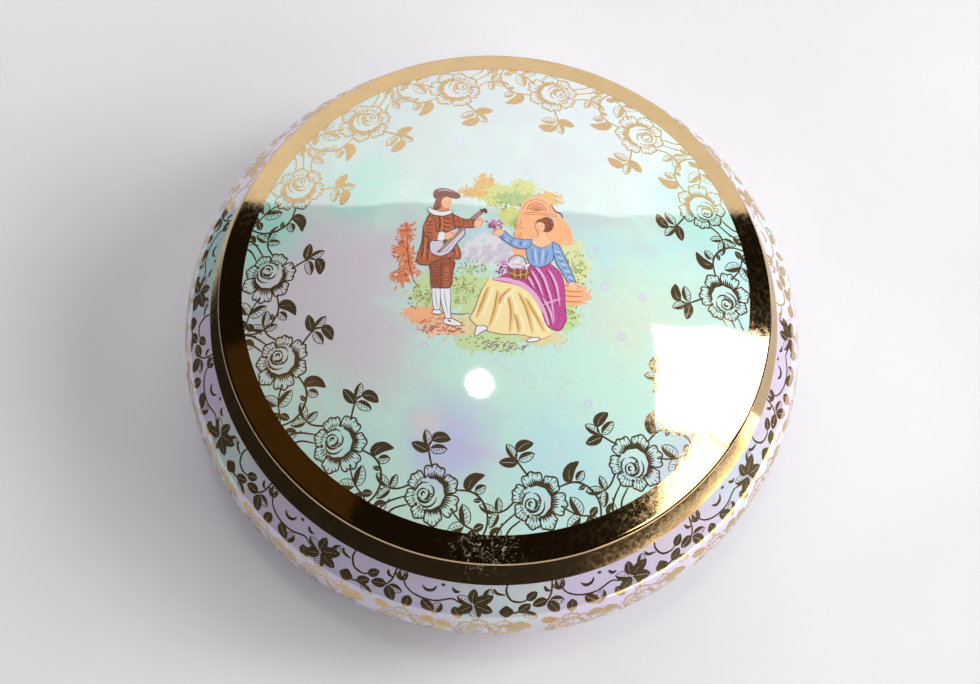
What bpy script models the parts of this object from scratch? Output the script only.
"""Porcelain trinket box: a round bowl on a foot ring and a domed lid that lifts off.

Metres, +Z up.  The origin is the centre of the foot ring's underside, on the
axis that both pieces were thrown about.
"""

import math

import bpy

# Driving dimensions, in metres.
LID_RADIUS = 0.0500            # the lid's edge, where it meets the bowl
LID_SEAT_HEIGHT = 0.0390       # the lid's flat underside above the table
DOME_RISE = 0.0130             # from the lid's seat to the crown of the dome
BAND_RADIUS = 0.0455           # inner edge of the lid's sloping gilt border
BAND_RISE = 0.0030             # how far that border climbs towards the dome
LID_WALL = 0.0032
GAP = 0.0003                   # running gap between the two pieces

FLANGE_RADIUS = 0.0449         # locating flange that drops into the bowl
FLANGE_WALL = 0.0026
FLANGE_DEPTH = 0.0050

MOUTH_RADIUS = 0.0458          # inside of the bowl at its rim
RIM_RADIUS = 0.0490            # outside of the bowl at its rim, under the lid's edge
NECK_RADIUS = 0.0520           # lower edge of the bowl's gilt border
NECK_DROP = 0.0054
BELLY_RADIUS = 0.0578
BELLY_DROP = 0.0164            # widest place, below the lid's seat
BOWL_WALL = 0.0034
FOOT_OUTER = 0.0345
FOOT_INNER = 0.0312
FOOT_HEIGHT = 0.0042
BASE_RECESS = 0.0030           # hollow under the base, inside the foot ring
FLOOR_THICKNESS = 0.0036

TURN_STEPS = 60
ARC_STEPS = 9
SHOULDER_STEPS = 6
UNDER_STEPS = 8
SMOOTH_ANGLE = math.radians(32)

LUSTRE_WHITE = (0.78, 0.84, 0.82, 1.0)
LUSTRE_LILAC = (0.72, 0.69, 0.80, 1.0)


def clear_scene():
    for old in list(bpy.data.objects):
        bpy.data.objects.remove(old, do_unlink=True)


def collection_for(name):
    group = bpy.data.collections.new(name)
    bpy.context.scene.collection.children.link(group)
    return group


def glaze(name, colour):
    """Glazed porcelain with a hard, bright surface."""
    material = bpy.data.materials.new(name)
    material.use_nodes = True
    shader = material.node_tree.nodes["Principled BSDF"]
    shader.inputs["Base Color"].default_value = colour
    shader.inputs["Roughness"].default_value = 0.08
    shader.inputs["Metallic"].default_value = 0.0
    shader.inputs["Coat Weight"].default_value = 0.5
    return material


def sphere_radius(half_chord, rise):
    """Radius of the sphere whose cap has this half chord and this rise."""
    return (half_chord ** 2 + rise ** 2) / (2 * rise)


def cap_points(radius, crown, edge, steps):
    """A spherical cap's profile from its crown at the axis out to the edge radius."""
    reach = math.asin(edge / radius)
    points = []
    for i in range(steps + 1):
        angle = reach * i / steps
        points.append((radius * math.sin(angle), crown - radius * (1 - math.cos(angle))))
    return points


def corner(centre, radius, start_degrees, end_degrees, steps=3):
    """Part of a circle, as points, for a rounded edge."""
    points = []
    for i in range(steps + 1):
        angle = math.radians(start_degrees + (end_degrees - start_degrees) * i / steps)
        points.append((centre[0] + radius * math.cos(angle), centre[1] + radius * math.sin(angle)))
    return points


def bezier(start, leave, arrive, end, steps):
    """A cubic curve's points, without its first one, and its direction at each."""
    points = []
    for i in range(1, steps + 1):
        t = i / steps
        weights = ((1 - t) ** 3, 3 * t * (1 - t) ** 2, 3 * t * t * (1 - t), t ** 3)
        slopes = (-(1 - t) ** 2, (1 - t) * (1 - 3 * t), t * (2 - 3 * t), t * t)
        corners = (start, leave, arrive, end)
        place = tuple(sum(w * p[k] for w, p in zip(weights, corners)) for k in (0, 1))
        heading = tuple(sum(w * p[k] for w, p in zip(slopes, corners)) for k in (0, 1))
        points.append((place, heading))
    return points


def turned(name, profile, material, group):
    """Turn a profile that starts and ends on the Z axis, given as radius and height."""
    mesh = bpy.data.meshes.new(name)
    vertices = [(radius, 0.0, height) for radius, height in profile]
    edges = [(i, i + 1) for i in range(len(vertices) - 1)]
    mesh.from_pydata(vertices, edges, [])
    piece = bpy.data.objects.new(name, mesh)
    mesh.materials.append(material)
    group.objects.link(piece)
    screw = piece.modifiers.new("Turn", "SCREW")
    screw.axis = "Z"
    screw.angle = math.tau
    screw.steps = TURN_STEPS
    screw.render_steps = TURN_STEPS
    screw.use_merge_vertices = True
    screw.merge_threshold = 0.00001
    screw.use_smooth_shade = True
    return piece


def lid_profile():
    """From the crown over the dome and border, round the edge, and back inside."""
    seat = LID_SEAT_HEIGHT
    dome_radius = sphere_radius(BAND_RADIUS, DOME_RISE - BAND_RISE)
    top = cap_points(dome_radius, seat + DOME_RISE, BAND_RADIUS, ARC_STEPS)
    edge_radius = 0.0005
    edge = corner((LID_RADIUS - edge_radius, seat + edge_radius), edge_radius, 55, -90)
    flange = [
        (FLANGE_RADIUS + 0.0004, seat),
        (FLANGE_RADIUS, seat - 0.0004),
    ]
    lip_radius = 0.0010
    lip = corner((FLANGE_RADIUS - lip_radius, seat - FLANGE_DEPTH + lip_radius),
                 lip_radius, 0, -90)
    inner = FLANGE_RADIUS - FLANGE_WALL
    lip += corner((inner + lip_radius, seat - FLANGE_DEPTH + lip_radius),
                  lip_radius, -90, -180)
    underside = cap_points(dome_radius - LID_WALL, seat + DOME_RISE - LID_WALL,
                           inner - 0.0014, ARC_STEPS - 1)
    hollow = list(reversed(underside))
    shoulder = [(inner, hollow[0][1] - 0.0016)]
    return top + edge + flange + lip + shoulder + hollow


def outer_wall():
    """The bowl's outside below its border: over the belly and in to the foot."""
    seat = LID_SEAT_HEIGHT
    neck = (NECK_RADIUS, seat - NECK_DROP)
    belly = (BELLY_RADIUS, seat - BELLY_DROP)
    foot = (FOOT_OUTER + 0.0006, FOOT_HEIGHT)
    shoulder = bezier(neck, (neck[0] + 0.0026, neck[1] - 0.0037),
                      (belly[0], belly[1] + 0.0056), belly, SHOULDER_STEPS)
    under = bezier(belly, (belly[0], belly[1] - 0.0090),
                   (belly[0] - 0.0085, foot[1] + 0.0020), foot, UNDER_STEPS)
    return shoulder + under


def offset_inward(wall, depth):
    """The wall's points moved square to it, by its thickness, into the hollow."""
    points = []
    for (radius, height), (run, rise) in wall:
        length = math.hypot(run, rise)
        points.append((radius + depth * rise / length, height - depth * run / length))
    return points


def inner_wall():
    """The bowl's inside, from its floor at the axis up to the mouth."""
    floor = (0.0, BASE_RECESS + FLOOR_THICKNESS)
    hollow = offset_inward(outer_wall()[1:], BOWL_WALL)
    mouth = (MOUTH_RADIUS, LID_SEAT_HEIGHT - FLANGE_DEPTH - 0.0010)
    return [floor] + list(reversed(hollow)) + [mouth]


def bowl_profile():
    """From the floor up the inside, over the rim, down the outside and the foot."""
    rim = LID_SEAT_HEIGHT - GAP
    edge_radius = 0.0006
    lip = corner((MOUTH_RADIUS + edge_radius, rim - edge_radius), edge_radius, 180, 90)
    lip += corner((RIM_RADIUS - edge_radius, rim - edge_radius), edge_radius, 90, 30)
    foot = [
        (FOOT_OUTER, 0.0004),
        (FOOT_OUTER - 0.0004, 0.0),
        (FOOT_INNER + 0.0004, 0.0),
        (FOOT_INNER, 0.0004),
        (FOOT_INNER - 0.0006, BASE_RECESS - 0.0006),
        (FOOT_INNER - 0.0016, BASE_RECESS),
        (0.0, BASE_RECESS),
    ]
    neck = [(NECK_RADIUS, LID_SEAT_HEIGHT - NECK_DROP)]
    outside = neck + [place for place, heading in outer_wall()]
    return inner_wall() + lip + outside + foot


def make_bowl(group):
    return turned("bowl", bowl_profile(), glaze("bowl_glaze", LUSTRE_LILAC), group)


def make_lid(group):
    return turned("lid", lid_profile(), glaze("lid_glaze", LUSTRE_WHITE), group)


def finish(piece):
    """Smooth shading that keeps the foot's and the flange's corners crisp."""
    evaluated = piece.evaluated_get(bpy.context.evaluated_depsgraph_get())
    mesh = bpy.data.meshes.new_from_object(evaluated)
    piece.modifiers.clear()
    piece.data = mesh
    mesh.shade_smooth()
    mesh.set_sharp_from_angle(angle=SMOOTH_ANGLE)


def main():
    clear_scene()
    group = collection_for("trinket_box")
    for piece in (make_bowl(group), make_lid(group)):
        finish(piece)


main()
